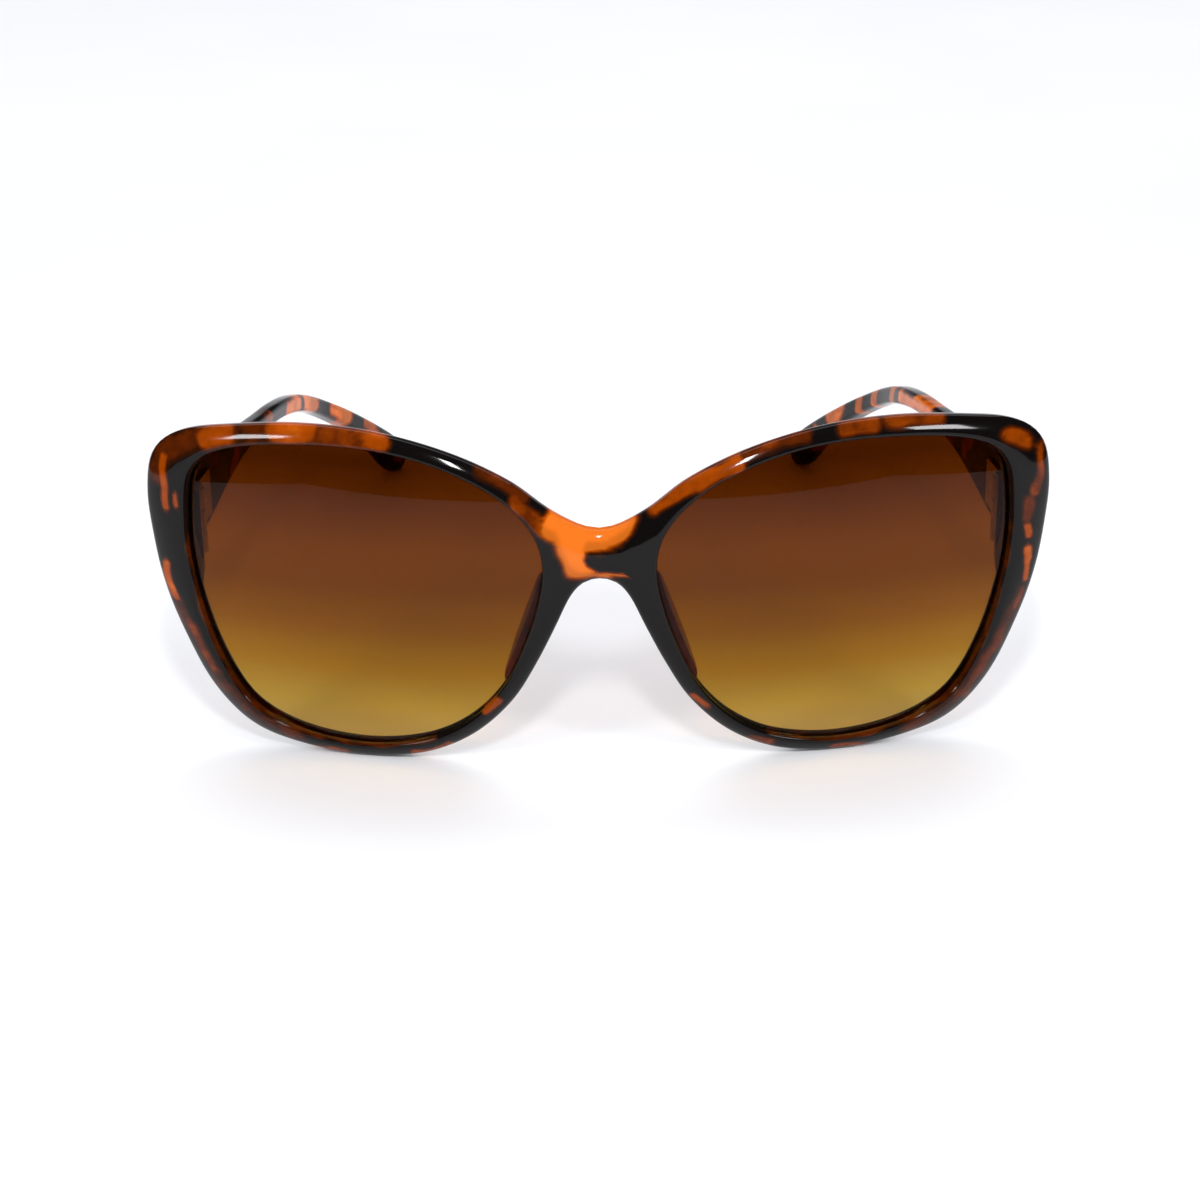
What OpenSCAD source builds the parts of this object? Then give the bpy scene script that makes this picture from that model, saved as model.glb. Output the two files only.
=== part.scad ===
// Cat eye sunglasses. The wearer looks along -Y, the wearer's left is +X, and up is +Z.
// The pair stands open on its two lower rims and its two temple tips, which touch Z = 0.

/* [Front] */
// Width across the front
front_w = 146.6; // [144:0.2:150]
// Height of the front, from the lower rims to the brow
front_h = 57.8; // [56.4:0.2:60]
// Thickness of the front
front_t = 4; // [3.8:0.1:4.6]
// Radius that the front is bent to
face_r = 200; // [190:5:220]

/* [Lenses] */
// Thickness of a lens
lens_t = 1.8; // [1.6:0.1:2]
// Radius of the front face of a lens
lens_r = 132; // [128:1:140]
// Depth of a lens behind the face of the front, at the middle of the lens
lens_set = 0.5; // [0.4:0.05:0.6]
// Depth of the groove that holds a lens
groove = 1; // [0.8:0.1:1.2]

/* [Temples] */
// Thickness of a temple
temple_t = 3.6; // [3.3:0.1:3.8]
// Distance from the bridge back to the temple tips
reach = 144.5; // [140:0.5:146]
// Angle at which a temple runs inwards from its hinge
toe = 8.5; // [8:0.25:9]
// Gap between an end piece and the butt end of its temple
butt_gap = 0.3; // [0.3:0.05:0.4]

/* [Hinges] */
// Height of the middle of a hinge
hinge_z = 37; // [36.5:0.25:38]
// Radius of the hinge barrels
barrel_r = 1.6; // [1.5:0.05:1.65]
// Radius of the hinge screw
pin_r = 0.65; // [0.6:0.05:0.7]
// Radial clearance of the screw in the barrels above its thread
pin_play = 0.05; // [0.03:0.01:0.06]
// Thickness of a hinge leaf
leaf_t = 1; // [0.9:0.05:1.1]
// Gap between one barrel and the next
barrel_gap = 0.3; // [0.25:0.05:0.35]

/* [Nose pads] */
// How far a nose pad stands out behind the front
pad_depth = 5.5; // [5:0.1:6]
// Angle at which a nose pad splays
pad_splay = 12; // [10:1:14]

/* [Hidden] */
$fn = 48;
ball_fn = 360;

// The outlines below are drawn for a front of this width and height, and for this reach.
drawn_w = 146.6;
drawn_h = 57.8;
drawn_reach = 144.5;

// Half of the outline of the front, from the top of the bridge round to its underside
front_half = [
    [0, 41.8], [7, 44.6], [14, 49.7], [24, 54.2], [36, 57.1], [48, 57.8], [60, 56.6],
    [67.7, 54.9], [72, 51.2], [73.3, 44.5], [72.9, 38], [71.6, 29.5], [68.8, 20.5],
    [64.4, 10.8], [58, 4], [49, 1], [39, 0], [29, 1.3], [21, 5.3], [14.5, 11.8],
    [10.6, 18.4], [7.2, 25.4], [4.6, 31], [2.4, 33.4], [0, 33.9]
];

// Opening for the left lens
lens_opening = [
    [66.3, 44], [66.5, 36], [65.2, 27], [62.4, 17.5], [58, 9.4], [52, 5.3], [44, 3.2],
    [35.5, 3], [27, 5], [20.5, 9.2], [15.5, 15.3], [12, 23], [9.8, 30], [9, 36],
    [10.3, 41.2], [14.5, 46.2], [21, 50.2], [29, 53.1], [38, 54.6], [48, 54.6],
    [57, 53.5], [62.6, 51.5], [65.4, 48.3]
];

// Left nose pad
pad_outline = [
    [8.7, 25], [7.5, 29], [6.9, 32.5], [7.8, 35], [9.2, 33.5], [10.3, 29.5], [12, 24.2],
    [14, 18.8], [15.4, 14.8], [14, 14], [11.6, 18.6]
];

// Temple from the side, as distance behind the bridge and height: along the upper
// edge, round the tip and back along the lower edge
temple_side = [
    [20, 50], [30, 48.2], [40, 44.8], [50, 41.6], [60, 39.2], [72, 37.3], [84, 35.6],
    [96, 33], [106, 29.3], [116, 24.2], [126, 18.2], [135, 12.2], [141, 7.6],
    [144.2, 4.2], [143.8, 1.2], [141.4, 0], [138.8, 1.6], [135, 5.6],
    [130, 10.2], [124, 15], [118, 19.2], [111, 23.3], [103, 27], [94, 29.9],
    [84, 32.2], [72, 33.9], [60, 34.4], [48, 33.2], [38, 31.2], [31, 30.1], [26, 30],
    [20, 30]
];

// Inner face of the left temple from above, behind its straight stretch
temple_curl = [[54.4, 110], [50.6, 120], [46.2, 131], [40.4, 144.5]];
temple_straight = 78;

// Radius of the back of a nose pad, and height of its middle
pad_back_r = 13.8;
pad_z = 25;

// Height of the middle of the bend of the front
bend_z = 0.52 * front_h;
// The end pieces: their extent across and up, and the plane where the temples butt
end_in = front_w / 2 - 7.3;
end_out = front_w / 2 - 0.5;
end_low = 30;
end_high = 50;
butt_y = 20;
// Foremost inner corner of the left temple
temple_x = front_w / 2 - 4.8;
temple_y = butt_y + butt_gap;

// Axis of the left hinge, clear of the end piece and of the temple
axis_x = temple_x - barrel_r - 0.65;
axis_y = butt_y + barrel_r + 0.3;
// Lengths of the two outer barrels and of the middle one
outer_barrel = 3.5;
middle_barrel = 3.4;
stack_h = 2 * outer_barrel + middle_barrel + 2 * barrel_gap;
screw_head_r = 1.25;
screw_head_h = 0.7;
slot_w = 0.3;

// Plate of a front leaf, and plate of a temple leaf, which stands proud of the temple
front_leaf_w = 6.1;
front_leaf_h = 12;
front_leaf_in = 1.2;
temple_leaf_l = 11;
temple_leaf_h = 8;
leaf_proud = 0.6;
temple_leaf_y = 4;
// Arm from the plate of the temple leaf to the middle barrel
arm_out = 1.15;
arm_y = 2.2;
arm_t = 1.05;
arm_l = 2.8;
// Arms from the plate of the front leaf to the outer barrels
front_arm_w = 1.8;
// Screws that hold the leaves
fixing_r = 0.5;
fixing_head_r = 0.95;
fixing_head_h = 0.5;
fixing_l = 3;
fixing_inset = 2.8;
fixing_pitch = 7;
temple_fixing_pitch = 5.4;

// Clearance of a lens in its groove
lens_play = 0.05;

// Curves through the points p. The slope at each point comes from its neighbours.
function slope(a, b, c) = (c - a) / (norm(b - a) + norm(c - b));
function between(a, b, slope_a, slope_b, t) =
    let (h = norm(b - a))
    (2 * t * t * t - 3 * t * t + 1) * a + (t * t * t - 2 * t * t + t) * h * slope_a
    + (3 * t * t - 2 * t * t * t) * b + (t * t * t - t * t) * h * slope_b;
function closed_curve(p, cuts) =
    let (n = len(p))
    [for (i = [0 : n - 1], k = [0 : cuts - 1])
        let (a = p[(i + n - 1) % n], b = p[i], c = p[(i + 1) % n], d = p[(i + 2) % n])
            between(b, c, slope(a, b, c), slope(b, c, d), k / cuts)];
function open_curve(p, cuts) =
    let (n = len(p))
    [for (i = [0 : n - 2], k = [0 : cuts - 1])
        let (a = p[max(i - 1, 0)], b = p[i], c = p[i + 1], d = p[min(i + 2, n - 1)])
            between(b, c, slope(a, b, c), slope(b, c, d), k / cuts),
     p[n - 1]];
// The closed curve p, which runs clockwise, moved outwards by d
function grown(p, d) =
    let (n = len(p))
    [for (i = [0 : n - 1])
        let (along = p[(i + 1) % n] - p[(i + n - 1) % n])
            p[i] + d * [-along[1], along[0]] / norm(along)];
function reversed(p) = [for (i = [len(p) - 1 : -1 : 0]) p[i]];

// Drawn points at the sizes chosen above
function front_size(p) = [for (q = p) [q[0] * front_w / drawn_w, q[1] * front_h / drawn_h]];
function reach_y(y) = butt_y + (y - butt_y) * (reach - butt_y) / (drawn_reach - butt_y);

other_half = [for (i = [len(front_half) - 2 : -1 : 1]) [-front_half[i][0], front_half[i][1]]];
outline = closed_curve(front_size(concat(front_half, other_half)), 4);
lens_hole = closed_curve(front_size(lens_opening), 4);
lens_edge = grown(lens_hole, groove);
lens_groove = grown(lens_hole, groove + lens_play);

temple_profile = open_curve([for (q = temple_side) [reach_y(q[0]), q[1]]], 4);
function on_straight(l) = [temple_x, temple_y] + l * [-sin(toe), cos(toe)];
temple_inner = open_curve(
    concat([for (part = [0 : 2]) on_straight(part * temple_straight / 2)],
        [for (q = temple_curl) [q[0] * front_w / drawn_w, reach_y(q[1])]]), 4);
temple_outer = [for (q = temple_inner) q + [temple_t, 0]];

// The middle of a lens on the face of the front, and the way in from there
lens_mid_x = 0.26 * front_w;
lens_mid_z = 0.5 * front_h;
lens_mid_y = face_r - sqrt(face_r * face_r - lens_mid_x * lens_mid_x
    - (lens_mid_z - bend_z) * (lens_mid_z - bend_z));
lens_mid = [lens_mid_x, lens_mid_y, lens_mid_z];
lens_centre = lens_mid + (lens_set + lens_r) * ([0, face_r, bend_z] - lens_mid) / face_r;

// Puts a left-hand piece, drawn behind the bridge, in its place. A side of -1 mirrors it.
module placed(side = 1) {
    translate([0, -reach / 2, 0])
        mirror([side < 0 ? 1 : 0, 0, 0])
            children();
}

// Prism over an outline in X and Z, from y0 back to y1
module slab(points, y0, y1) {
    translate([0, y1, 0])
        rotate([90, 0, 0])
            linear_extrude(y1 - y0)
                polygon(points);
}

// Ball whose surface is the face of the front, or a depth behind it
module face_ball(depth = 0) {
    translate([0, face_r, bend_z])
        sphere(face_r - depth, $fn = ball_fn);
}

module lens_shell(play = 0) {
    translate(lens_centre)
        difference() {
            sphere(lens_r + play, $fn = ball_fn);
            sphere(lens_r - lens_t - play, $fn = ball_fn);
        }
}

// Screw with a countersunk head, whose face is at the origin, pointing along -Y
module fixing() {
    rotate([90, 0, 0]) {
        cylinder(h = fixing_head_h, r1 = fixing_head_r, r2 = fixing_r);
        cylinder(h = fixing_l, r = fixing_r);
    }
}

// Frame on the inner face of the left temple, with X into it and Y along it
module on_temple() {
    translate([temple_x, temple_y, 0])
        rotate([0, 0, toe])
            children();
}

module at_front_fixing(row) {
    translate([end_in + fixing_inset, butt_y, hinge_z + row * fixing_pitch / 2])
        children();
}

module at_temple_fixing(place) {
    on_temple()
        translate([-leaf_proud, temple_leaf_y + temple_leaf_l / 2
            + place * temple_fixing_pitch / 2, hinge_z])
            rotate([0, 0, 90])
                children();
}

module barrel(z0, h) {
    translate([axis_x, axis_y, z0])
        cylinder(h = h, r = barrel_r);
}

module axis_bore(z0, h, r) {
    translate([axis_x, axis_y, z0])
        cylinder(h = h, r = r);
}

module end_piece() {
    intersection() {
        slab(outline, 5, butt_y);
        translate([end_in, 5, end_low])
            cube([end_out - end_in, butt_y, end_high - end_low]);
        face_ball(1);
    }
}

module front_leaf_plate() {
    translate([axis_x - front_leaf_in, butt_y - leaf_t, hinge_z - front_leaf_h / 2])
        cube([front_leaf_w, leaf_t, front_leaf_h]);
}

module temple_leaf_plate() {
    on_temple()
        translate([-leaf_proud, temple_leaf_y, hinge_z - temple_leaf_h / 2])
            cube([leaf_t, temple_leaf_l, temple_leaf_h]);
}

module front_frame() {
    color("saddlebrown")
        placed()
            difference() {
                union() {
                    intersection() {
                        slab(outline, -1, 30);
                        difference() {
                            face_ball();
                            face_ball(front_t);
                        }
                    }
                    for (side = [0, 1])
                        mirror([side, 0, 0])
                            end_piece();
                }
                for (side = [0, 1])
                    mirror([side, 0, 0]) {
                        slab(lens_hole, -2, 32);
                        intersection() {
                            slab(lens_groove, -2, 32);
                            lens_shell(lens_play);
                        }
                        front_leaf_plate();
                        for (row = [-1, 1])
                            at_front_fixing(row)
                                fixing();
                    }
            }
}

module lens(side) {
    color("sienna", 0.7)
        placed(side)
            intersection() {
                slab(lens_edge, -2, 32);
                lens_shell();
            }
}

module nose_pad(side) {
    color("saddlebrown")
        placed(side)
            intersection() {
                translate([0, front_t, 0])
                    rotate([0, 0, -pad_splay])
                        slab(closed_curve(pad_outline, 3), -4, 14);
                face_ball(front_t);
                translate([0, front_t + pad_depth - pad_back_r, pad_z])
                    rotate([0, 90, 0])
                        cylinder(h = 60, r = pad_back_r, center = true, $fn = ball_fn);
            }
}

module temple(side) {
    color("saddlebrown")
        placed(side)
            difference() {
                intersection() {
                    rotate([90, 0, 90])
                        linear_extrude(90)
                            polygon(temple_profile);
                    translate([0, 0, -1])
                        linear_extrude(80)
                            polygon(concat(temple_inner, reversed(temple_outer)));
                }
                temple_leaf_plate();
                for (place = [-1, 1])
                    at_temple_fixing(place)
                        fixing();
            }
}

module front_hinge_leaf(side) {
    color("goldenrod")
        placed(side)
            difference() {
                union() {
                    front_leaf_plate();
                    for (z0 = [hinge_z - stack_h / 2, hinge_z + stack_h / 2 - outer_barrel]) {
                        barrel(z0, outer_barrel);
                        translate([axis_x - front_arm_w / 2, butt_y - leaf_t / 2, z0])
                            cube([front_arm_w, axis_y - butt_y, outer_barrel]);
                    }
                }
                axis_bore(hinge_z - stack_h / 2 - 1, outer_barrel + 2, pin_r);
                axis_bore(hinge_z, stack_h, pin_r + pin_play);
                for (row = [-1, 1])
                    at_front_fixing(row)
                        fixing();
            }
}

module temple_hinge_leaf(side) {
    color("goldenrod")
        placed(side)
            difference() {
                union() {
                    temple_leaf_plate();
                    barrel(hinge_z - middle_barrel / 2, middle_barrel);
                    on_temple()
                        translate([-arm_out, arm_y, hinge_z - middle_barrel / 2])
                            cube([arm_t, arm_l, middle_barrel]);
                }
                axis_bore(hinge_z - stack_h / 2, stack_h, pin_r + pin_play);
                for (place = [-1, 1])
                    at_temple_fixing(place)
                        fixing();
            }
}

module hinge_screw(side) {
    color("silver")
        placed(side)
            translate([axis_x, axis_y, hinge_z - stack_h / 2])
                difference() {
                    union() {
                        cylinder(h = stack_h, r = pin_r);
                        translate([0, 0, stack_h])
                            cylinder(h = screw_head_h, r = screw_head_r);
                    }
                    translate([-2, -slot_w / 2, stack_h + screw_head_h / 2])
                        cube([4, slot_w, screw_head_h]);
                }
}

module front_leaf_screw(row, side) {
    color("silver")
        placed(side)
            at_front_fixing(row)
                fixing();
}

module temple_leaf_screw(place, side) {
    color("silver")
        placed(side)
            at_temple_fixing(place)
                fixing();
}

front_frame();
lens(1);  // lens_left
lens(-1);  // lens_right
nose_pad(1);  // nose_pad_left
nose_pad(-1);  // nose_pad_right
temple(1);  // temple_left
temple(-1);  // temple_right
front_hinge_leaf(1);  // front_hinge_leaf_left
front_hinge_leaf(-1);  // front_hinge_leaf_right
temple_hinge_leaf(1);  // temple_hinge_leaf_left
temple_hinge_leaf(-1);  // temple_hinge_leaf_right
hinge_screw(1);  // hinge_screw_left
hinge_screw(-1);  // hinge_screw_right
front_leaf_screw(1, 1);  // front_leaf_screw_upper_left
front_leaf_screw(1, -1);  // front_leaf_screw_upper_right
front_leaf_screw(-1, 1);  // front_leaf_screw_lower_left
front_leaf_screw(-1, -1);  // front_leaf_screw_lower_right
temple_leaf_screw(-1, 1);  // temple_leaf_screw_front_left
temple_leaf_screw(-1, -1);  // temple_leaf_screw_front_right
temple_leaf_screw(1, 1);  // temple_leaf_screw_rear_left
temple_leaf_screw(1, -1);  // temple_leaf_screw_rear_right
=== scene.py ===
import math

import bmesh
import bpy
import numpy as np
from mathutils import Matrix, Vector, noise


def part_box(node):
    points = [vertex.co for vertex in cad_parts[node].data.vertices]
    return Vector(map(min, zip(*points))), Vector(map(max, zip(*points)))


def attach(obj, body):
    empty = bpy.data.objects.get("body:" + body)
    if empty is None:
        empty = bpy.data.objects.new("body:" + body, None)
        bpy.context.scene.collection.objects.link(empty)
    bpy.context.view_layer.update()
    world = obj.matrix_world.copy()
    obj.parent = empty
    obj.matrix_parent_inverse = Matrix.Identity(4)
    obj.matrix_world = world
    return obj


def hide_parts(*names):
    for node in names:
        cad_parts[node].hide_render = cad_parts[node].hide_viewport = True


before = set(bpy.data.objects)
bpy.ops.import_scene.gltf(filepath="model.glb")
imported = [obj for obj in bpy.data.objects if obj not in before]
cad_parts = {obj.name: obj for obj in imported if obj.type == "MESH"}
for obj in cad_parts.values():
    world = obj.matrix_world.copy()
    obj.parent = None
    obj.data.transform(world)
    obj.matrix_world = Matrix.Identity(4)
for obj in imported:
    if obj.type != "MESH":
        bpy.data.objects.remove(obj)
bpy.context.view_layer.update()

# Lengths below are in millimetres. X is across, Y is behind the bridge and Z is above the table.
MM = 0.001
# The outlines below are drawn for a front this wide and high, and temples that reach this far.
DRAWN_W = 146.73
DRAWN_H = 57.81
DRAWN_REACH = 144.33
# The front is a sheet bent to a sphere. The bridge begins a little behind the sphere's foremost
# point, which lies in the nose gap.
FACE_R = 200.0
FRONT_T = 4.0
BRIDGE_START = 0.04
# The temples meet the end pieces here.
BUTT_Y = 20.0
BUTT_GAP = 0.3
# The lenses are ground to a sphere of their own, and sit in a groove.
LENS_R = 132.0
LENS_T = 1.8
LENS_SET = 0.5
LENS_PLAY = 0.02
GROOVE = 1.0
TEMPLE_T = 3.6
TEMPLE_ROUND = 1.2
TEMPLE_TIP = 2.6
TOE = math.radians(8.5)
PAD_SPLAY = math.tan(math.radians(12))
PAD_BACK_R = 13.8
PAD_Z = 25.0
PAD_DEPTH = 5.5
# How much wider a pad's outline has become where it leaves the sheet, from its splay
PAD_WIDEN = 1.04
PAD_RIDGE = 2.2

front_low, front_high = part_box("front_frame")
WIDE = (front_high[0] - front_low[0]) / MM / DRAWN_W
HIGH = (front_high[2] - front_low[2]) / MM / DRAWN_H
BRIDGE_Y = front_low[1] / MM - BRIDGE_START
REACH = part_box("temple_left")[1][1] / MM - BRIDGE_Y
TEMPLE_STRETCH = (REACH - BUTT_Y) / (DRAWN_REACH - BUTT_Y)
TEMPLE_X = 68.5 * WIDE
BEND_Z = 30.06 * HIGH
LENS_X, LENS_Z = 38.1 * WIDE, 28.9 * HIGH

# Half of the outline of the front, clockwise from the top of the bridge to its underside
FRONT_HALF = [
    (0, 41.8), (7, 44.6), (14, 49.7), (24, 54.2), (36, 57.1), (48, 57.8), (60, 56.6),
    (67.7, 54.9), (72, 51.2), (73.3, 44.5), (72.9, 38), (71.6, 29.5), (68.8, 20.5),
    (64.4, 10.8), (58, 4), (49, 1), (39, 0), (29, 1.3), (21, 5.3), (14.5, 11.8),
    (10.6, 18.4), (7.2, 25.4), (4.6, 31), (2.4, 33.4), (0, 33.9),
]
LENS_OPENING = [
    (66.3, 44), (66.5, 36), (65.2, 27), (62.4, 17.5), (58, 9.4), (52, 5.3), (44, 3.2),
    (35.5, 3), (27, 5), (20.5, 9.2), (15.5, 15.3), (12, 23), (9.8, 30), (9, 36),
    (10.3, 41.2), (14.5, 46.2), (21, 50.2), (29, 53.1), (38, 54.6), (48, 54.6),
    (57, 53.5), (62.6, 51.5), (65.4, 48.3),
]
PAD_OUTLINE = [
    (8.7, 25), (7.5, 29), (6.9, 32.5), (7.8, 35), (9.2, 33.5), (10.3, 29.5), (12, 24.2),
    (14, 18.8), (15.4, 14.8), (14, 14), (11.6, 18.6),
]
TEMPLE_TOP = [
    (20.3, 50), (30, 48.2), (40, 44.8), (50, 41.6), (60, 39.2), (72, 37.3), (84, 35.6),
    (96, 33), (106, 29.3), (116, 24.2), (126, 18.2), (135, 12.2), (141, 7.6), (144.2, 3.4),
]
TEMPLE_BOTTOM = [
    (20.3, 30), (26, 30), (31, 30.1), (38, 31.2), (48, 33.2), (60, 34.4), (72, 33.9),
    (84, 32.2), (94, 29.9), (103, 27), (111, 23.3), (118, 19.2), (124, 15),
    (130, 10.2), (135, 5.6), (138.8, 1.6), (141.4, 0), (143.6, 1), (144.2, 3.4),
]
TEMPLE_CURL = [(54.4, 110), (50.6, 120), (46.2, 131), (40.4, 144.5)]


def smooth_step(low, high, v):
    t = np.clip((np.asarray(v, float) - low) / (high - low), 0, 1)
    return t * t * (3 - 2 * t)


def lengths_along(line):
    return np.r_[0, np.cumsum(np.linalg.norm(np.diff(line, axis=0), axis=1))]


def curve(points, spacing, closed, soften):
    """Evenly spaced points along a smooth curve through these, softened over a few steps."""
    p = np.array(points, float)
    n = len(p)
    fine = []
    for i in range(n if closed else n - 1):
        near = [j % n if closed else min(max(j, 0), n - 1) for j in range(i - 1, i + 3)]
        a, b, c, d = p[near]
        h = np.linalg.norm(c - b)
        mb = (c - a) / (np.linalg.norm(b - a) + h)
        mc = (d - b) / (np.linalg.norm(d - c) + h)
        for t in np.arange(24) / 24:
            fine.append((2 * t**3 - 3 * t**2 + 1) * b + (t**3 - 2 * t**2 + t) * h * mb
                        + (3 * t**2 - 2 * t**3) * c + (t**3 - t**2) * h * mc)
    fine.append(p[0] if closed else p[-1])
    fine = np.array(fine)
    run = lengths_along(fine)
    count = max(4, 2 * round(run[-1] / spacing / 2))
    at = np.linspace(0, run[-1], count + 1)
    out = np.c_[np.interp(at, run, fine[:, 0]), np.interp(at, run, fine[:, 1])]
    if closed:
        out = out[:-1]
    tail = round(3 * soften / spacing)
    if not tail:
        return out
    k = np.exp(-0.5 * (np.arange(-tail, tail + 1) * spacing / soften) ** 2)
    k /= k.sum()
    if closed:
        padded = np.r_[out[-tail:], out, out[:tail]]
    else:
        padded = np.r_[2 * out[0] - out[tail:0:-1], out, 2 * out[-1] - out[-2:-tail - 2:-1]]
    return np.c_[np.convolve(padded[:, 0], k, "valid"), np.convolve(padded[:, 1], k, "valid")]


def outward(p):
    """Unit normals of a closed clockwise curve, pointing out of it."""
    along = np.roll(p, -1, axis=0) - np.roll(p, 1, axis=0)
    along /= np.linalg.norm(along, axis=1, keepdims=True)
    return np.c_[-along[:, 1], along[:, 0]]


def distance_to(path, points):
    """How far each point is from a line of straight stretches."""
    path = np.array(path, float)
    near = np.full(len(points), np.inf)
    for a, b in zip(path[:-1], path[1:]):
        t = np.clip(((points - a) @ (b - a)) / ((b - a) @ (b - a)), 0, 1)
        near = np.minimum(near, np.linalg.norm(points - a - t[:, None] * (b - a), axis=1))
    return near


def sized(points):
    """Points of an outline, fitted to the CAD front's size."""
    return [(x * WIDE, z * HIGH) for x, z in points]


def face(x, z):
    """Point on the bent face of the front, and the way in from there."""
    y = FACE_R - np.sqrt(FACE_R**2 - x**2 - (z - BEND_Z) ** 2)
    s = np.stack([x, y, z], -1)
    inward = (np.array([0, FACE_R, BEND_Z]) - s) / FACE_R
    # The outer sides of the end pieces are cut back less towards the middle than the rest.
    inward[..., 0] *= 1 - 0.55 * smooth_step(67, 71.5, np.abs(x))
    return s, inward


def sunk(xz, w):
    """Points at a depth w behind the face. Past the sheet's thickness they go straight back."""
    xz = np.asarray(xz, float)
    w = np.broadcast_to(np.asarray(w, float), xz.shape[:-1])
    s, inward = face(xz[..., 0], xz[..., 1])
    p = s + np.minimum(w, FRONT_T)[..., None] * inward
    p[..., 1] += np.maximum(w - FRONT_T, 0)
    return p


def lens_sphere():
    s, inward = face(np.array(LENS_X), np.array(LENS_Z))
    return s + (LENS_SET + LENS_R) * inward


LENS_CENTRE = lens_sphere()


def lens_depth(xz):
    """Depth behind the face at which the lens begins."""
    s, inward = face(xz[:, 0], xz[:, 1])
    d = s - LENS_CENTRE
    along = (d * inward).sum(-1)
    return -along - np.sqrt(along**2 - (d * d).sum(-1) + LENS_R**2)


class Shell:
    """Collects grids of points and makes one mesh of them, welded where they meet."""

    def __init__(self):
        self.points = []
        self.faces = []
        self.count = 0

    def grid(self, g, closed=False, flip=False):
        rows, cols = g.shape[:2]
        base = self.count
        self.points.append(g.reshape(-1, 3))
        self.count += rows * cols
        for i in range(rows if closed else rows - 1):
            for j in range(cols - 1):
                a = base + i * cols + j
                b = base + ((i + 1) % rows) * cols + j
                quad = [a, b, b + 1, a + 1]
                self.faces.append(quad[::-1] if flip else quad)

    def cap(self, ring, flip=False):
        base = self.count
        self.points.append(np.asarray(ring))
        self.count += len(ring)
        loop = list(range(base, base + len(ring)))
        self.faces.append(loop[::-1] if flip else loop)

    def mirrored(self):
        p = np.concatenate(self.points)
        self.points = [p, p * [-1, 1, 1]]
        n = len(p)
        self.faces += [[n + v for v in reversed(f)] for f in self.faces]
        self.count = 2 * n

    def build(self, name, side=1, weld=0.002):
        p = np.concatenate(self.points) * [side, 1, 1]
        p = (p + [0, BRIDGE_Y, 0]) * MM
        mesh = bpy.data.meshes.new(name)
        mesh.from_pydata(p.tolist(), [], self.faces)
        bm = bmesh.new()
        bm.from_mesh(mesh)
        bmesh.ops.remove_doubles(bm, verts=bm.verts, dist=weld * MM)
        bmesh.ops.dissolve_degenerate(bm, edges=bm.edges, dist=1e-7)
        bmesh.ops.recalc_face_normals(bm, faces=bm.faces)
        bm.to_mesh(mesh)
        bm.free()
        mesh.shade_smooth()
        obj = bpy.data.objects.new(name, mesh)
        bpy.context.collection.objects.link(obj)
        return obj


# ---------------------------------------------------------------- camera
PHOTO_BACK = 378.0
PHOTO_UP = 195.2
PHOTO_TILT = math.radians(23.5)
PHOTO_ROLL = math.radians(-0.8)
FOCAL = 78.0


def make_camera():
    cam = bpy.data.cameras.new("photo_camera")
    cam.lens = FOCAL
    cam.sensor_width = 36.0
    cam.clip_start = 0.01
    obj = bpy.data.objects.new("photo_camera", cam)
    bpy.context.collection.objects.link(obj)
    turn = Matrix.Rotation(math.pi / 2 - PHOTO_TILT, 4, "X") @ Matrix.Rotation(PHOTO_ROLL, 4, "Z")
    obj.matrix_world = Matrix.Translation((0, (BRIDGE_Y - PHOTO_BACK) * MM, PHOTO_UP * MM)) @ turn
    bpy.context.scene.camera = obj


# ---------------------------------------------------------------- front
# The face stands foremost next to the lens, but for a small rounded lip, and falls back by EDGE_W
# over its last EDGE_SPAN before the rounded outer edge, which begins EDGE_IN from the outline.
LIP = 0.5
LIP_W = 0.12
LIP_SPAN = 0.6
LIP_DEEP = 0.5
EDGE_IN = 1.1
EDGE_DEEP = 1.1
EDGE_START = 0.9
EDGE_W = 0.8
EDGE_SPAN = 3.4
BACK_LIP = 0.4
BACK_IN = 1.0
STATION = 0.6
ROWS_ACROSS = 15


def end_ramp(xz):
    """1 on the blocks behind the end pieces that the temples meet, falling to 0 round them."""
    x, z = np.abs(xz[..., 0]), xz[..., 1]
    return (smooth_step(28.4, 30.4, z) * (1 - smooth_step(49.7, 51.5, z))
            * smooth_step(61, 65, x))


def thickness(xz):
    """Thickness of the front at these places, more at the end pieces."""
    to_butt = BUTT_Y - 0.15 - sunk(xz, FRONT_T)[..., 1]
    return FRONT_T + end_ramp(xz) * np.maximum(to_butt, 0)


def front_curves():
    """Half of the outer edge and the opening, each with its outward normals."""
    edge_depth = 1.2
    other = [(-x, z) for x, z in FRONT_HALF[-2:0:-1]]
    edge = curve(sized(FRONT_HALF + other), 0.25, True, 1.2)
    normals = outward(edge)
    _, inward = face(edge[:, 0], edge[:, 1])
    edge = edge - edge_depth * inward[:, [0, 2]]
    half = len(edge) // 2 + 1
    edge, normals = edge[:half], normals[:half]
    edge[[0, -1], 0] = 0
    normals[[0, -1], 0] = 0
    normals[0, 1], normals[-1, 1] = 1, -1
    hole = curve(sized(LENS_OPENING), STATION, True, 1.0)
    hole_out = outward(hole)
    first = hole.copy()
    for _ in range(2):
        _, inward = face(hole[:, 0], hole[:, 1])
        hole = first - lens_depth(hole)[:, None] * inward[:, [0, 2]]
    return edge, normals, hole, hole_out


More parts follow.
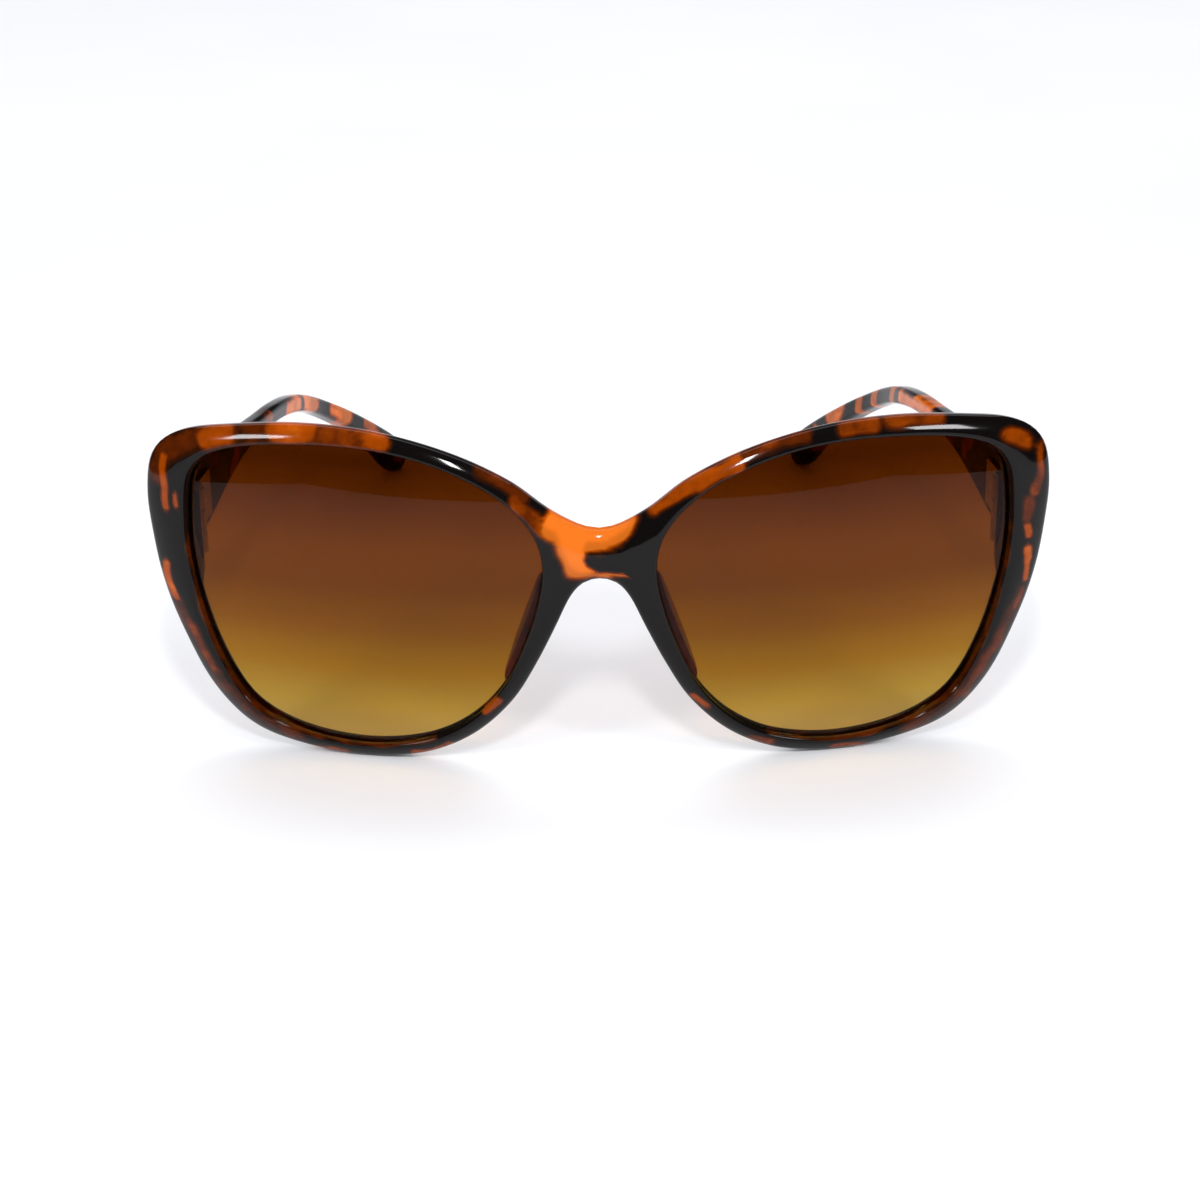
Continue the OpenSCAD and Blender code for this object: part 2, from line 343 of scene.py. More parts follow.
def meet(origin, direction, line):
    """Where rays first cross a line: its index and fraction there, and the distance."""
    a, b = line[:-1], line[1:]
    e = b - a
    places, distances = [], []
    for o, d in zip(origin, direction):
        den = d[0] * e[:, 1] - d[1] * e[:, 0]
        den = np.where(np.abs(den) < 1e-12, 1e-12, den)
        r = a - o
        t = (r[:, 0] * e[:, 1] - r[:, 1] * e[:, 0]) / den
        u = (r[:, 0] * d[1] - r[:, 1] * d[0]) / den
        ok = np.where((t > 0) & (u >= -1e-9) & (u <= 1 + 1e-9))[0]
        k = ok[np.argmin(t[ok])] if len(ok) else None
        places.append(0 if k is None else k + u[k])
        distances.append(np.inf if k is None else t[k])
    return np.array(places), np.array(distances)


def blend_rows(values, at):
    """Rows of values at fractional indices."""
    k = np.clip(np.floor(at).astype(int), 0, len(values) - 2)
    f = (at - k)[:, None]
    return values[k] * (1 - f) + values[k + 1] * f


class Stretch:
    """A run of stations: on the opening, its way out, and where the face ends. The outer edge
    and its normals are left out where the face ends at the middle of the bridge instead."""

    def __init__(self, hole, out, face_end, edge=None, normal=None):
        self.hole, self.out, self.face_end = hole, out, face_end
        self.edge, self.normal = edge, normal


def front_stretches(edge, normals, hole, hole_out, inset):
    """The stations from the top of the bridge round to its underside, and those of the bridge."""
    n = len(hole)
    places, to_edge = meet(hole, hole_out, inset)
    leans = hole_out[:, 0] < -1e-6
    to_middle = np.where(leans, -hole[:, 0] / np.minimum(hole_out[:, 0], -1e-6), np.inf)
    middle_z = hole[:, 1] + np.where(leans, to_middle, 0) * hole_out[:, 1]
    at_bridge = to_edge > to_middle
    start = next(i for i in range(n) if not at_bridge[i] and at_bridge[i - 1])
    order = np.roll(np.arange(n), -start)
    outer, bridge = order[~at_bridge[order]], order[at_bridge[order]]
    # Both ends of the outer stations lie half a station further, and are tied to the middle.
    place = np.unwrap(np.r_[outer[0] - 0.5, outer, outer[-1] + 0.5], period=n)
    place += n - n * math.floor(place[0] / n)
    at = np.r_[0, np.maximum.accumulate(places[outer]), len(inset) - 1]
    out = blend_rows(np.r_[hole_out, hole_out, hole_out], place)
    out /= np.linalg.norm(out, axis=1, keepdims=True)
    round_lens = Stretch(blend_rows(np.r_[hole, hole, hole], place), out,
                         blend_rows(inset, at), blend_rows(edge, at), blend_rows(normals, at))
    middle = np.maximum.accumulate(np.r_[inset[-1, 1], middle_z[bridge], inset[0, 1]])
    over_bridge = Stretch(np.vstack([round_lens.hole[-1], hole[bridge], round_lens.hole[0]]),
                          np.vstack([out[-1], hole_out[bridge], out[0]]),
                          np.c_[np.zeros(len(middle)), middle])
    return round_lens, over_bridge


def across(start, end):
    """Rows of points from one line to another."""
    t = np.linspace(0, 1, ROWS_ACROSS)[None, :, None]
    return start[:, None] * (1 - t) + end[:, None] * t


def back_ends(round_lens, over_bridge):
    """Where the back face ends in each stretch, and how far that is from the outer edge."""
    soft = (BACK_IN - 0.6 * end_ramp(round_lens.edge))[:, None]
    outer = round_lens.edge - soft * round_lens.normal
    outer[[0, -1], 0] = 0
    low, high = outer[[-1, 0], 1]
    middle = over_bridge.face_end[:, 1]
    share = (middle - middle[0]) / (middle[-1] - middle[0])
    return outer, np.c_[np.zeros(len(share)), low + share * (high - low)], soft[:, 0]


def opening_wall(stretch, w_face):
    """The wall of the opening from front to back, with the groove that the lens sits in."""
    hole, out = stretch.hole, stretch.out
    w_lens = lens_depth(hole)
    w_end = thickness(hole + BACK_LIP * out)
    front_of, behind = w_lens - LENS_PLAY, w_lens + LENS_T + LENS_PLAY
    drop = np.minimum(LIP_DEEP, front_of - w_face - 0.1)
    room = np.clip((w_end - behind) * 0.7, 0.1, 0.4)
    quarter = np.linspace(0, math.pi / 2, 6)
    rows = [(LIP * (1 - math.sin(q)), w_face + drop * (1 - math.cos(q))) for q in quarter]
    # The corners of the groove are each a close pair of rows, which keeps them sharp.
    rows += [(0, front_of - 0.04), (0, front_of), (0.04, front_of), (GROOVE, front_of),
             (GROOVE, behind), (0.04, behind), (0, behind), (0, behind + 0.04)]
    rows += [(BACK_LIP * (1 - math.cos(q)), w_end - room * (1 - math.sin(q))) for q in quarter]
    return np.stack([sunk(hole + away * out, w) for away, w in rows], 1)


def outer_edge(stretch, w_face, soft):
    """The outer edge: rounded from the face, straight back, and rounded into the back face."""
    w_back = thickness(stretch.edge - soft[:, None] * stretch.normal)
    round_back = 0.9 * soft
    w_side = w_face + EDGE_DEEP
    rows = []
    for q in np.linspace(EDGE_START, math.pi / 2, 8):
        out = (math.sin(q) - math.sin(EDGE_START)) / (1 - math.sin(EDGE_START))
        deep = 1 - math.cos(q) / math.cos(EDGE_START)
        rows.append((-EDGE_IN * (1 - out), w_face + EDGE_DEEP * deep))
    rows += [(0, w_side + share * (w_back - round_back - w_side)) for share in (0.33, 0.66)]
    for q in np.linspace(0, math.pi / 2, 6):
        rows.append((-soft * (1 - math.cos(q)), w_back - round_back * (1 - math.sin(q))))
    strip = []
    for away, w in rows:
        xz = stretch.edge + np.broadcast_to(away, len(soft))[:, None] * stretch.normal
        xz[[0, -1], 0] = 0
        strip.append(sunk(xz, w))
    return np.stack(strip, 1)


def make_front():
    edge, normals, hole, hole_out = front_curves()
    inset = edge - EDGE_IN * normals
    inset[[0, -1], 0] = 0
    lip_line = hole + LIP * hole_out
    lip_line = np.vstack([lip_line, lip_line[:1]])

    def crown(xz):
        """How far the face falls back here, towards its ends and into the lip."""
        flat = xz.reshape(-1, 2)
        fall = np.clip(1 - distance_to(inset, flat) / EDGE_SPAN, 0, 1) ** 2
        lip = np.clip(1 - distance_to(lip_line, flat) / LIP_SPAN, 0, 1) ** 2
        return (EDGE_W * fall + LIP_W * lip * (1 - fall)).reshape(xz.shape[:-1])

    stretches = front_stretches(edge, normals, hole, hole_out, inset)
    *ends, soft = back_ends(*stretches)
    shell = Shell()
    for stretch, back_end in zip(stretches, ends):
        face_points = across(stretch.hole + LIP * stretch.out, stretch.face_end)
        back_points = across(stretch.hole + BACK_LIP * stretch.out, back_end)
        shell.grid(sunk(face_points, crown(face_points)))
        shell.grid(sunk(back_points, thickness(back_points)), flip=True)
        shell.grid(opening_wall(stretch, crown(face_points[:, 0])), flip=True)
    shell.grid(outer_edge(stretches[0], EDGE_W, soft))
    shell.mirrored()
    return shell.build("front_acetate")


# ---------------------------------------------------------------- lenses
def make_lens(side, name):
    """A lens, a little smaller than the groove it sits in."""
    in_groove = GROOVE - 0.05
    edge = curve(sized(LENS_OPENING), 0.8, True, 1.0)
    edge = edge + in_groove * outward(edge)
    centre = edge.mean(0)
    shell = Shell()
    rings = np.r_[np.linspace(0.02, 0.96, 24), 1.0]
    xz = centre + rings[None, :, None] * (edge[:, None] - centre)

    def ball(r):
        """The points on the front of a sphere round the lens's centre."""
        d2 = (xz[..., 0] - LENS_CENTRE[0]) ** 2 + (xz[..., 1] - LENS_CENTRE[2]) ** 2
        return np.stack([xz[..., 0], LENS_CENTRE[1] - np.sqrt(r * r - d2), xz[..., 1]], -1)

    front, back = ball(LENS_R), ball(LENS_R - LENS_T)
    shell.grid(front, closed=True, flip=True)
    shell.grid(back, closed=True)
    shell.grid(np.stack([front[:, -1], back[:, -1]], 1), closed=True, flip=True)
    shell.cap(front[:, 0])
    shell.cap(back[:, 0], flip=True)
    return shell.build(name, side)


# ---------------------------------------------------------------- nose pads
def pad_ridge(edge):
    """For each point of a pad's outline, the point of the ridge along its middle that is level."""
    low, high = edge[:, 1].min(), edge[:, 1].max()
    levels = np.linspace(low + 0.4, high - 0.4, 60)
    middle = []
    for z in levels:
        near = edge[np.argsort(np.abs(edge[:, 1] - z))[:6]]
        middle.append((near[:, 0].min() + near[:, 0].max()) / 2)
    padded = np.r_[[middle[0]] * 6, middle, [middle[-1]] * 6]
    middle = np.convolve(padded, np.ones(13) / 13, "valid")
    # Both sides end on the same points of the ridge, half a millimetre apart, which closes it.
    z = np.round(np.clip(edge[:, 1], low + PAD_RIDGE, high - PAD_RIDGE) * 2) / 2
    return np.c_[np.interp(z, levels, middle), z]


def make_pad(side, name):
    """A pad that stands on the back of the sheet and rounds over to the ridge along its middle."""
    sunk_in = 0.15
    edge = curve([(x * PAD_WIDEN, z) for x, z in PAD_OUTLINE], 0.35, True, 0.5)
    ridge = pad_ridge(edge)
    rows = []
    for q in np.linspace(0, math.pi / 2, 14):
        towards = 1 - math.cos(q) ** 0.8
        up = math.sin(q) ** 0.75
        xz = edge + (ridge - edge) * towards
        deep = np.sqrt(np.maximum(PAD_BACK_R**2 - (xz[:, 1] - PAD_Z) ** 2, 0))
        deep = np.maximum(deep - (PAD_BACK_R - PAD_DEPTH), sunk_in) * up
        p = sunk(xz, FRONT_T - sunk_in)
        p[:, 0] += deep * PAD_SPLAY
        p[:, 1] += deep
        rows.append(p)
    shell = Shell()
    shell.grid(np.stack(rows, 1), closed=True)
    shell.cap(rows[0])
    return shell.build(name, side, weld=0.01)


# ---------------------------------------------------------------- temples
def stretched(points, axis):
    """Temple points, with how far back they are fitted to the CAD temple's reach."""
    points = np.array(points, float)
    points[:, axis] = BUTT_Y + (points[:, axis] - BUTT_Y) * TEMPLE_STRETCH
    return points


def temple_inner_line():
    """The inner face of a temple from above. It toes in, then curls round the head."""
    start = BUTT_Y + BUTT_GAP
    straight = [(TEMPLE_X - run * math.sin(TOE), start + run * math.cos(TOE))
                for run in (0, 26, 52, 78)]
    curl = stretched([(x * WIDE, y) for x, y in TEMPLE_CURL], 1)
    return curve([*straight, *curl], 0.5, False, 4.0)


def even_points(line, share):
    """Points at these shares of a line's length."""
    run = lengths_along(line)
    run /= run[-1]
    return np.c_[np.interp(share, run, line[:, 0]), np.interp(share, run, line[:, 1])]


def temple_ring(t, h):
    """Points round a section 2 t thick and 2 h high, with rounded corners."""
    r = min(TEMPLE_ROUND, 0.92 * t, 0.8 * h)
    corners = []
    for k, (sx, sz) in enumerate(((1, -1), (1, 1), (-1, 1), (-1, -1))):
        q = (k - 1) * math.pi / 2 + np.linspace(0, math.pi / 2, 7)
        corners.append(np.c_[sx * (t - r) + r * np.cos(q), sz * (h - r) + r * np.sin(q)])
    ring = []
    # The long sides have more steps, so that they hold the pattern.
    for corner, after, steps in zip(corners, corners[1:] + corners[:1], (20, 2, 20, 2)):
        share = np.arange(1, steps)[:, None] / steps
        ring += [corner, corner[-1] + (after[0] - corner[-1]) * share]
    return np.concatenate(ring)


def make_temple(side, name):
    """A temple, in sections from the end piece to the tip."""
    inner = temple_inner_line()
    # The sections lie closer together over the last part of the length.
    near_tip = 0.93
    to_tip = near_tip + (1 - near_tip) * np.sin(np.linspace(0, math.pi / 2, 24)[1:])
    share = np.r_[np.linspace(0, near_tip, 240), to_tip]
    tops, bottoms = (even_points(curve(stretched(line, 0), 0.5, False, 1.0), share)
                     for line in (TEMPLE_TOP, TEMPLE_BOTTOM))
    middle, half = (tops + bottoms) / 2, (tops - bottoms) / 2
    h = np.linalg.norm(half, axis=1)
    up = half / np.maximum(h, 1e-6)[:, None]
    up[-1] = up[-2]
    h = np.maximum(h, 0.25)
    # The tip is rounded from above too.
    tip = np.clip((middle[:, 0] - (REACH - TEMPLE_TIP)) / TEMPLE_TIP, 0, 1)
    t = TEMPLE_T / 2 * np.sqrt(1 - 0.9 * tip**2)

    def section(i, narrower=0.0, back=0.0):
        a, b = (np.sign(v) * np.maximum(np.abs(v) - narrower, 0) for v in temple_ring(t[i], h[i]).T)
        yz = middle[i] + b[:, None] * up[i]
        x = np.interp(yz[:, 0], inner[:, 1], inner[:, 0]) + TEMPLE_T / 2 + a
        return np.c_[x, yz[:, 0] + back, yz[:, 1]]

    # The edges of the end that meets the front are eased.
    rows = [section(0, 0.32), section(0, 0.1, 0.08), section(0, 0.0, 0.3)]
    rows += [section(i) for i in range(1, len(share))]
    # The tip closes to one point.
    rows.append(np.full_like(rows[-1], rows[-1].mean(0)))
    shell = Shell()
    shell.grid(np.stack([np.r_[row, row[:1]] for row in rows]))
    shell.cap(rows[0], flip=True)
    return shell.build(name, side)


# ---------------------------------------------------------------- tortoise pattern
# Strokes of amber in the dark sheet: how light, how wide, and the way it runs across the front.
# A lightness of 0 paints dark again over what is there.
FRONT_STROKES = [
    (0.4, 2.0, [(-71, 48), (-69.5, 52), (-64, 54.4)]),
    (0.72, 0.8, [(-69.7, 50.6), (-69.8, 47.6), (-69.8, 42.6)]),
    (0.6, 0.4, [(-67.9, 45), (-68, 42.8)]),
    (0.42, 1.3, [(-68.4, 53.6), (-65.4, 53.6)]),
    (0.66, 1.9, [(-62.4, 54.6), (-59, 55.6)]),
    (0.38, 2.5, [(-57, 56), (-52, 57)]),
    (0.73, 2.0, [(-50.6, 56.8), (-46, 57)]),
    (0.55, 2.2, [(-45, 57), (-37, 56.6)]),
    (0.68, 1.4, [(-36, 56.4), (-33.8, 56)]),
    (0.45, 1.5, [(-18.5, 51.8), (-15.4, 50.2), (-11.8, 48)]),
    (0.54, 1.2, [(-13.2, 47.4), (-10.9, 45), (-8.6, 42.5)]),
    (1.2, 2.2, [(-7, 43), (-3.6, 41.2), (0, 41), (3, 42), (4.6, 43.4)]),
    (1.2, 2.3, [(-4.6, 41), (-3.2, 36.6)]),
    (0.0, 1.3, [(-1.2, 37.6), (1.6, 37.2), (4, 37.6)]),
    (0.0, 1.9, [(4.6, 38.2), (6.2, 39.8), (8.2, 43)]),
    (0.9, 0.5, [(-3, 35.1), (0, 34.8), (3.6, 34.8)]),
    (0.74, 0.8, [(-70.4, 32.6), (-70.3, 29.5), (-69.5, 27)]),
    (0.38, 1.3, [(-69.4, 26), (-66.6, 20), (-62.6, 12), (-58, 6.5), (-50, 3)]),
    (0.5, 0.9, [(-67.6, 22.6), (-65.8, 18.6), (-64, 14.5)]),
    (0.42, 0.9, [(-56.4, 6), (-50.6, 3.6)]),
    (0.55, 0.7, [(-48, 1.2), (-42.3, 0.6)]),
    (0.6, 0.8, [(-31, 1.6), (-28, 2), (-25, 3.6)]),
    (0.62, 0.9, [(-18.6, 10.2), (-16.6, 12.4)]),
    (0.66, 1.3, [(8.7, 45.6), (12.7, 48.2), (17.4, 50.4), (22, 52.2)]),
    (0.5, 1.3, [(12, 49.5), (20, 53.5)]),
    (0.0, 0.9, [(13.9, 51.2), (17.2, 52.6)]),
    (0.5, 1.6, [(23.5, 54.4), (28.3, 55.8), (32.6, 56.6)]),
    (0.0, 1.2, [(34.8, 55.4), (37, 55.8)]),
    (0.58, 1.3, [(38.6, 56.8), (43.5, 57.2)]),
    (0.56, 1.5, [(46, 57.8), (54, 57.2)]),
    (0.62, 1.4, [(65.4, 53), (68.6, 51.6)]),
    (0.56, 0.9, [(71, 50.4), (71.2, 46.4), (70.6, 43)]),
    (0.42, 1.1, [(69.5, 41.6), (69.5, 39)]),
    (0.7, 0.9, [(69.6, 37.4), (69.8, 35.8)]),
    (0.78, 0.8, [(69.6, 33.2), (69.8, 31.4)]),
    (0.7, 0.6, [(69.8, 30.8), (69.8, 28)]),
    (0.55, 0.6, [(69.2, 26), (68.1, 23)]),
    (0.6, 0.8, [(15, 12.6), (17, 10.6)]),
    (0.55, 0.9, [(24.4, 4), (27.5, 2.8)]),
    (0.6, 0.8, [(38, 0.8), (43.6, 0.6)]),
    (0.38, 1.3, [(50, 2.5), (57.4, 6.2), (62.4, 12), (66.4, 20), (69.2, 26)]),
    (0.45, 0.9, [(60.4, 8.6), (65.6, 17.5)]),
]
# The same along the temples, as seen from the side
TEMPLE_STROKES = {
    1: [
        (0.38, 1.8, [(27, 46), (31, 42)]), (0.5, 1.5, [(35, 33), (40, 36)]),
        (0.9, 1.9, [(46, 41), (50, 37)]), (0.8, 1.5, [(57, 35.5), (61, 38)]),
        (0.9, 1.9, [(72, 36), (82, 34.5)]), (0.9, 1.6, [(84, 33.5), (92, 32)]),
        (0.9, 1.5, [(97, 33), (98, 28.5)]), (0.9, 1.6, [(108, 29), (109, 25)]),
        (0.8, 1.3, [(115, 26), (115.5, 21)]), (0.9, 2.2, [(123, 20), (127, 15.5)]),
        (0.8, 1.5, [(133, 11), (134, 6)]),
    ],
    -1: [
        (0.38, 1.8, [(25, 33), (29, 37)]), (0.5, 1.5, [(36, 44), (41, 40)]),
        (0.9, 1.9, [(50, 35), (55, 38)]), (0.7, 1.4, [(63, 35), (66, 37)]),
        (0.6, 1.4, [(71, 35), (76, 35.5)]), (0.95, 2.2, [(88, 32), (95, 31.5)]),
        (0.95, 2.0, [(99, 30.5), (106, 27.5)]), (0.0, 1.0, [(97, 28), (98, 31)]),
        (0.95, 2.2, [(115, 24), (120, 20)]), (0.8, 1.6, [(128, 16), (132, 11)]),
        (0.7, 1.4, [(139, 5), (141, 3.5)]),
    ],
}
PAD_STROKES = [(0.6, 3.5, [(8.5, 31), (10.5, 25), (14.5, 15)])]
# The strokes wander by up to this much, to and fro over about this far. The seed makes them
# wander the same way each run.
WANDER = 0.6
WANDER_SPAN = 3.5
WANDER_SEED = 4


def rim_strokes():
    """The outer and lower edge of each lens opening, a little browner than the rim round it."""
    beyond_pads, below_brow = 26, 38
    light, width = 0.38, 0.5
    line = curve(sized(LENS_OPENING), 2.0, True, 0.5)
    line = line[(line[:, 0] > beyond_pads) & (line[:, 1] < below_brow)]
    return [(light, width, line * [side, 1]) for side in (1, -1)]


def paint(obj, strokes, across, side=1):
    """Stores how light the sheet is at each vertex. The strokes lie along the axes in across."""
    co = np.array([v.co for v in obj.data.vertices]) / MM - [0, BRIDGE_Y, 0]
    stray = np.array([noise.noise_vector(Vector(c) / WANDER_SPAN) for c in co])
    p = (co + WANDER * stray)[:, across] * [side, 1]
    amber = np.zeros(len(p))
    for light, width, path in strokes:
        cover = 1 - smooth_step(0.5 * width, 1.5 * width, distance_to(path, p))
        amber = np.maximum(amber, light * cover) if light else amber * (1 - cover)
    layer = obj.data.attributes.new("amber", "FLOAT", "POINT")
    layer.data.foreach_set("value", amber)


# ---------------------------------------------------------------- materials
class Graph:
    """A material's nodes. add() makes a node, and takes numbers or other nodes' outputs."""

    def __init__(self, name):
        self.material = bpy.data.materials.new(name)
        self.material.use_nodes = True
        self.tree = self.material.node_tree
        self.tree.nodes.clear()
        self.end = self.tree.nodes.new("ShaderNodeOutputMaterial")

    def add(self, kind, values=None, **settings):
        node = self.tree.nodes.new("ShaderNode" + kind)
        for key, value in settings.items():
            setattr(node, key, value)
        for key, value in (values or {}).items():
            if isinstance(value, bpy.types.NodeSocket):
                self.tree.links.new(value, node.inputs[key])
            else:
                node.inputs[key].default_value = value
        return node

    def math(self, operation, a, b):
        return self.add("Math", {0: a, 1: b}, operation=operation).outputs[0]

    def ramp(self, fac, stops):
        node = self.add("ValToRGB", {"Fac": fac})
        bar = node.color_ramp.elements
        while len(bar) < len(stops):
            bar.new(0.5)
        for element, (at, colour) in zip(bar, stops):
            element.position = at
            element.color = (*colour, 1) if isinstance(colour, tuple) else (colour, colour, colour, 1)
        return node.outputs["Color"]

    def finish(self, shader):
        self.tree.links.new(shader, self.end.inputs["Surface"])
        return self.material


def tortoise(name, ior):
    """Amber that light passes into, in near black, with its edges broken up by cloudy drifts."""
    g = Graph(name)
    where = g.add("TexCoord").outputs["Object"]
    light = g.add("Attribute", attribute_name="amber").outputs["Fac"]
    cloud = g.add("TexNoise", {"Vector": where, "Scale": 300, "Detail": 3}).outputs["Fac"]
    grain = g.add("TexNoise", {"Vector": where, "Scale": 1300, "Detail": 2}).outputs["Fac"]
    light = g.math("ADD", light, g.math("MULTIPLY", g.math("SUBTRACT", cloud, 0.5), 0.45))
    light = g.math("ADD", light, g.math("MULTIPLY", g.math("SUBTRACT", grain, 0.5), 0.08))
    colour = g.ramp(light, [
        (0.1, (0.004, 0.003, 0.003)), (0.32, (0.03, 0.006, 0.001)), (0.5, (0.12, 0.018, 0.001)),
        (0.72, (0.5, 0.08, 0.001)), (0.95, (0.98, 0.22, 0.018)),
    ])
    clear = g.ramp(light, [(0.2, 0.0), (0.75, 0.5)])
    haze = g.add("TexNoise", {"Vector": where, "Scale": 90, "Detail": 4}).outputs["Fac"]
    rough = g.add("MapRange", {"Value": haze, "To Min": 0.04, "To Max": 0.1}).outputs["Result"]
    shader = g.add("BsdfPrincipled", {
        "Base Color": colour, "Roughness": rough, "IOR": ior, "Transmission Weight": clear,
    })
    return g.finish(shader.outputs[0])


# The lenses are coated against reflections, so they mirror less than bare plastic.
COATED_IOR = 1.22


def lens_glass():
    """Tinted yellow brown at the bottom to dark brown at the top."""
    g = Graph("brown_gradient_lens")
    where = g.add("TexCoord").outputs["Object"]
    z = g.add("SeparateXYZ", {0: where}).outputs["Z"]
    heights = [height * MM for _, height in LENS_OPENING]
    spread = {"Value": z, "From Min": min(heights), "From Max": max(heights)}
    up = g.add("MapRange", spread).outputs["Result"]
    tint = g.ramp(up, [
        (0.04, (0.5, 0.34, 0.08)), (0.13, (0.5, 0.31, 0.04)), (0.27, (0.375, 0.168, 0.007)),
        (0.41, (0.24, 0.08, 0.003)), (0.55, (0.15, 0.038, 0.0013)),
        (0.68, (0.145, 0.033, 0.001)), (0.8, (0.1, 0.02, 0.001)), (0.95, (0.056, 0.0095, 0.0004)),
    ])
    glass = g.add("BsdfPrincipled", {
        "Base Color": tint, "Roughness": 0.0, "IOR": COATED_IOR, "Transmission Weight": 1.0,
    })
    plain = g.add("BsdfTransparent", {"Color": tint})
    shadow = g.add("LightPath").outputs["Is Shadow Ray"]
    shader = g.add("MixShader", {0: shadow, 1: glass.outputs[0], 2: plain.outputs[0]})
    return g.finish(shader.outputs[0])


def steel(name, colour, roughness, stretch):
    """Metal with fine marks, drawn out along one axis by the stretch."""
    g = Graph(name)
    where = g.add("TexCoord").outputs["Object"]
    drawn = g.add("Mapping", {"Vector": where, "Scale": stretch}).outputs["Vector"]
    lines = g.add("TexNoise", {"Vector": drawn, "Scale": 1500, "Detail": 4}).outputs["Fac"]
    spread = {"Value": lines, "To Min": roughness - 0.08, "To Max": roughness + 0.1}
    rough = g.add("MapRange", spread)
    shade = g.ramp(lines, [(0.3, tuple(c * 0.85 for c in colour)), (0.7, colour)])
    bump = g.add("Bump", {"Height": lines, "Strength": 0.08, "Distance": 0.0001}).outputs["Normal"]
    shader = g.add("BsdfPrincipled", {
        "Base Color": shade, "Roughness": rough.outputs["Result"], "Metallic": 1.0, "Normal": bump,
    })
    return g.finish(shader.outputs[0])


def pale_floor():
    """White paper that is very slightly uneven."""
    g = Graph("pale_floor")
    where = g.add("TexCoord").outputs["Object"]
    mottle = g.add("TexNoise", {"Vector": where, "Scale": 6, "Detail": 3}).outputs["Fac"]
    colour = g.ramp(mottle, [(0.3, (0.88, 0.88, 0.9)), (0.7, (0.92, 0.92, 0.93))])
    shader = g.add("BsdfPrincipled", {"Base Color": colour, "Roughness": 0.6})
    return g.finish(shader.outputs[0])


def dress(obj, material):
    """Puts one material on all of a piece."""
    if not obj.material_slots:
        obj.data.materials.append(material)
    for slot in obj.material_slots:
        slot.material = material


make_camera()
front = make_front()
lenses = [make_lens(1, "lens_pane_left"), make_lens(-1, "lens_pane_right")]
pads = [make_pad(1, "nose_rest_left"), make_pad(-1, "nose_rest_right")]
temples = [make_temple(1, "temple_acetate_left"), make_temple(-1, "temple_acetate_right")]

noise.seed_set(WANDER_SEED)
paint(front, FRONT_STROKES + rim_strokes(), [0, 2])
for side, pad, temple in zip((1, -1), pads, temples):
    paint(pad, PAD_STROKES, [0, 2], side)
    paint(temple, TEMPLE_STROKES[side], [1, 2])

# The sheets mirror less than bare plastic would, and the temples least.
acetate = tortoise("tortoise_acetate", 1.28)
temple_acetate = tortoise("temple_acetate", 1.22)
glass = lens_glass()
plate_steel = steel("hinge_steel", (0.66, 0.64, 0.61), 0.3, (1, 1, 8))
screw_metal = steel("screw_steel", (0.72, 0.71, 0.69), 0.24, (1, 1, 1))
for pieces, material in (([front, *pads], acetate), (temples, temple_acetate), (lenses, glass)):
    for piece in pieces:
        dress(piece, material)
for name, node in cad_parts.items():
    if "screw" in name:
        dress(node, screw_metal)
    elif "leaf" in name:
        dress(node, plate_steel)

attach(front, "front")
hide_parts("front_frame")
for made, nodes, bodies, slot in (
    (lenses, ("lens_left", "lens_right"), ("front", "front"), "lens_tint"),
    (pads, ("nose_pad_left", "nose_pad_right"), ("front", "front"), "tortoise_acetate"),
    (temples, ("temple_left", "temple_right"), ("temple_left", "temple_right"), "tortoise_acetate"),
):
    for piece, node, body in zip(made, nodes, bodies):
        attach(piece, body)
        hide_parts(node)


# ---------------------------------------------------------------- stage
def staged(name, points, faces, material):
    """Something in the scene that is not part of the glasses."""
    mesh = bpy.data.meshes.new(name)
    mesh.from_pydata(points, [], faces)
    mesh.materials.append(material)
    obj = bpy.data.objects.new(name, mesh)
    bpy.context.collection.objects.link(obj)
    return obj


def dark_room():
    """Beyond the white sheet the room is dark, which only mirror-like surfaces see."""
    height = 0.6
    line = [(-0.34, 0.1), (-0.34, -0.475), (0.34, -0.475), (0.34, 0.1)]
    points = [(x, y, z) for z in (0, height) for x, y in line]
    faces = [(0, 1, 5, 4), (1, 2, 6, 5), (2, 3, 7, 6)]
    cloth = steel("dark_cloth", (0.01, 0.01, 0.01), 0.9, (1, 1, 1))
    card = staged("dark_room", points, faces, cloth)
    for kind in ("camera", "diffuse", "shadow", "transmission"):
        setattr(card, "visible_" + kind, False)


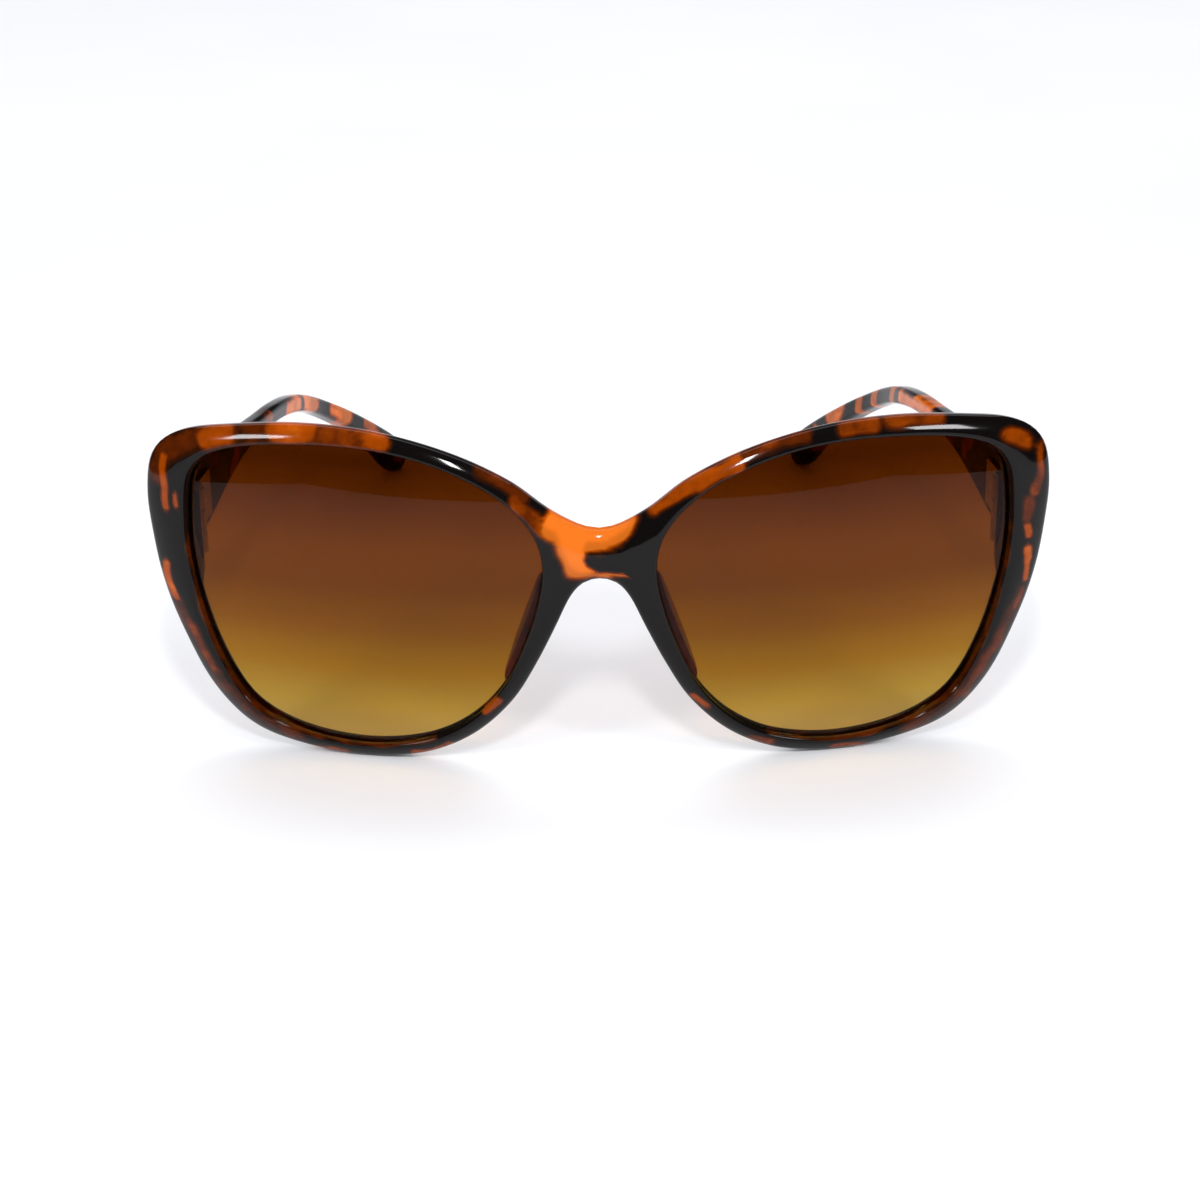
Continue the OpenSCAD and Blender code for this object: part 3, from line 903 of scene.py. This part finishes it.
def area_light(name, at, aim, size, power):
    """A rectangle of light, with its places and size in metres and its power in watts."""
    data = bpy.data.lights.new(name, "AREA")
    data.shape = "RECTANGLE"
    data.size, data.size_y = size
    data.energy = power
    obj = bpy.data.objects.new(name, data)
    obj.location = at
    obj.rotation_euler = (Vector(aim) - Vector(at)).to_track_quat("-Z", "Y").to_euler()
    bpy.context.collection.objects.link(obj)


def studio_world():
    """White all round as light. In mirror-like surfaces it is white only near the horizon."""
    world = bpy.data.worlds.new("studio")
    bpy.context.scene.world = world
    world.use_nodes = True
    tree = world.node_tree
    ray = tree.nodes.new("ShaderNodeLightPath")
    where = tree.nodes.new("ShaderNodeTexCoord")
    axes = tree.nodes.new("ShaderNodeSeparateXYZ")
    high = tree.nodes.new("ShaderNodeMapRange")
    dark = tree.nodes.new("ShaderNodeMath")
    mix = tree.nodes.new("ShaderNodeMixRGB")
    # Between these two heights the mirrored room turns dark.
    high.inputs["From Min"].default_value = 0.03
    high.inputs["From Max"].default_value = 0.16
    dark.operation = "MULTIPLY"
    mix.inputs[1].default_value = (0.94, 0.96, 1.0, 1)
    mix.inputs[2].default_value = (0.05, 0.05, 0.055, 1)
    tree.links.new(where.outputs["Generated"], axes.inputs[0])
    tree.links.new(axes.outputs["Z"], high.inputs["Value"])
    tree.links.new(high.outputs["Result"], dark.inputs[0])
    tree.links.new(ray.outputs["Is Glossy Ray"], dark.inputs[1])
    tree.links.new(dark.outputs[0], mix.inputs[0])
    tree.links.new(mix.outputs[0], tree.nodes["Background"].inputs["Color"])
    tree.nodes["Background"].inputs["Strength"].default_value = 0.76


staged("floor", [(-6, -6, 0), (6, -6, 0), (6, 6, 0), (-6, 6, 0)], [(0, 1, 2, 3)], pale_floor())
dark_room()
studio_world()
bpy.context.scene.view_settings.view_transform = "Standard"
area_light("flash", (0, -0.44, 0.39), (0, 0, 0.02), (0.03, 0.08), 0.8)
area_light("back_box", (0, 0.55, 0.8), (0, 0.35, 0), (1.2, 0.6), 4)
for x in (-0.3, 0.3):
    area_light("side_box", (x, -0.3, 0.25), (0, 0, 0.03), (0.08, 0.05), 0.45)
